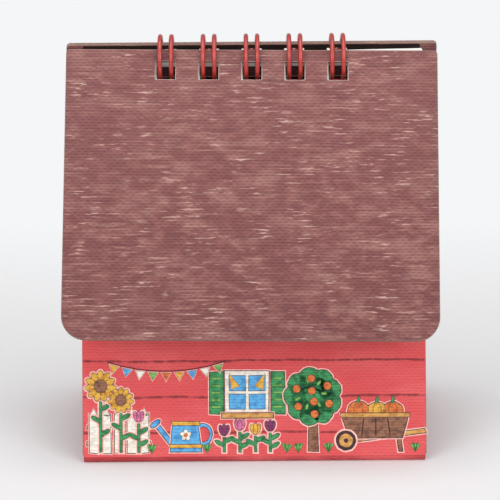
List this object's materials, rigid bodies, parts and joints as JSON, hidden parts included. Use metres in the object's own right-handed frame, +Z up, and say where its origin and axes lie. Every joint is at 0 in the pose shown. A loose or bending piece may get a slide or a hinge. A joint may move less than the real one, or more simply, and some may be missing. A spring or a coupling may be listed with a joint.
{
  "type": "desk calendar",
  "caption": "Small house-shaped tent desk calendar: brown roof cover and leaves on a red twin-loop wire, over a folding red easel.",
  "frame": {"origin": "On the table, under the middle of the object's box.", "axes": "+Z up, the cover faces -Y, +X to the right as seen from the front."},
  "size_m": [0.0739, 0.0546, 0.0819],
  "materials": {
    "brown_print_paper": "linen-embossed printed wrap, satin",
    "red_print_paper": "linen-embossed printed wrap, satin",
    "greyboard": "raw grey board",
    "liner_paper": "uncoated paper, matt",
    "leaf_paper": "uncoated card, matt",
    "coated_wire": "nylon-coated steel wire, gloss"
  },
  "bodies": {
    "stand": {"front_leg_core": "greyboard", "front_leg_wrap": "red_print_paper", "front_leg_liner": "liner_paper", "front_foot_strip": "red_print_paper", "wire_binding": "coated_wire"},
    "cover_flap": {"front_cover_core": "greyboard", "front_cover_wrap": "brown_print_paper", "front_cover_liner": "liner_paper"},
    "leaf_1_flap": {"leaf_1": "leaf_paper"},
    "leaf_2_flap": {"leaf_2": "leaf_paper"},
    "leaf_3_flap": {"leaf_3": "leaf_paper"},
    "leaf_4_flap": {"leaf_4": "leaf_paper"},
    "leaf_5_flap": {"leaf_5": "leaf_paper"},
    "leaf_6_flap": {"leaf_6": "leaf_paper"},
    "leaf_7_flap": {"leaf_7": "leaf_paper"},
    "rear_flap": {"rear_leg_core": "greyboard", "rear_leg_wrap": "red_print_paper", "rear_leg_liner": "liner_paper", "rear_panel_core": "greyboard", "rear_panel_wrap": "brown_print_paper", "rear_panel_liner": "liner_paper", "rear_foot_strip": "red_print_paper"},
    "base_front_half": {"base_front_core": "greyboard", "base_front_wrap": "red_print_paper", "base_front_liner": "liner_paper", "crease_strip": "red_print_paper"},
    "base_rear_half": {"base_rear_core": "greyboard", "base_rear_wrap": "red_print_paper", "base_rear_liner": "liner_paper"}
  },
  "joints": [
    {"name": "cover_turn", "type": "hinge", "parent": "stand", "child": "cover_flap", "pos_m": [0, -0.0001, 0.0773], "axis": [-1, 0, 0], "range_deg": [0, 145]},
    {"name": "leaf_1_turn", "type": "hinge", "parent": "stand", "child": "leaf_1_flap", "pos_m": [0, -0.0001, 0.0773], "axis": [-1, 0, 0], "range_deg": [0, 145.5]},
    {"name": "leaf_2_turn", "type": "hinge", "parent": "stand", "child": "leaf_2_flap", "pos_m": [0, -0.0001, 0.0773], "axis": [-1, 0, 0], "range_deg": [0, 125.2]},
    {"name": "leaf_3_turn", "type": "hinge", "parent": "stand", "child": "leaf_3_flap", "pos_m": [0, -0.0001, 0.0773], "axis": [-1, 0, 0], "range_deg": [0, 109.25]},
    {"name": "leaf_4_turn", "type": "hinge", "parent": "stand", "child": "leaf_4_flap", "pos_m": [0, -0.0001, 0.0773], "axis": [-1, 0, 0], "range_deg": [0, 93.3]},
    {"name": "leaf_5_turn", "type": "hinge", "parent": "stand", "child": "leaf_5_flap", "pos_m": [0, -0.0001, 0.0773], "axis": [-1, 0, 0], "range_deg": [0, 77.35]},
    {"name": "leaf_6_turn", "type": "hinge", "parent": "stand", "child": "leaf_6_flap", "pos_m": [0, -0.0001, 0.0773], "axis": [-1, 0, 0], "range_deg": [0, 61.4]},
    {"name": "leaf_7_turn", "type": "hinge", "parent": "stand", "child": "leaf_7_flap", "pos_m": [0, -0.0001, 0.0773], "axis": [-1, 0, 0], "range_deg": [0, 45.45]},
    {"name": "stand_fold", "type": "hinge", "parent": "stand", "child": "rear_flap", "pos_m": [0, 0.0007, 0.077], "axis": [-1, 0, 0], "range_deg": [0, 29]},
    {"name": "base_front_fold", "type": "hinge", "parent": "stand", "child": "base_front_half", "pos_m": [0, -0.01979, 0.00123], "axis": [1, 0, 0], "range_deg": [0, 48.03], "deforming": ["crease_strip"]},
    {"name": "base_rear_fold", "type": "hinge", "parent": "rear_flap", "child": "base_rear_half", "pos_m": [0, 0.02603, 0.00123], "axis": [-1, 0, 0], "range_deg": [0, 47.52]}
  ],
  "couplings": [
    {"joint": "leaf_1_turn", "follows": "cover_turn", "ratio": 1},
    {"joint": "leaf_2_turn", "follows": "cover_turn", "ratio": 0.86},
    {"joint": "leaf_3_turn", "follows": "cover_turn", "ratio": 0.75},
    {"joint": "leaf_4_turn", "follows": "cover_turn", "ratio": 0.64},
    {"joint": "leaf_5_turn", "follows": "cover_turn", "ratio": 0.53},
    {"joint": "leaf_6_turn", "follows": "cover_turn", "ratio": 0.42},
    {"joint": "leaf_7_turn", "follows": "cover_turn", "ratio": 0.31},
    {"joint": "base_front_fold", "follows": "stand_fold", "ratio": 1.6529},
    {"joint": "base_rear_fold", "follows": "stand_fold", "ratio": 1.6352}
  ]
}
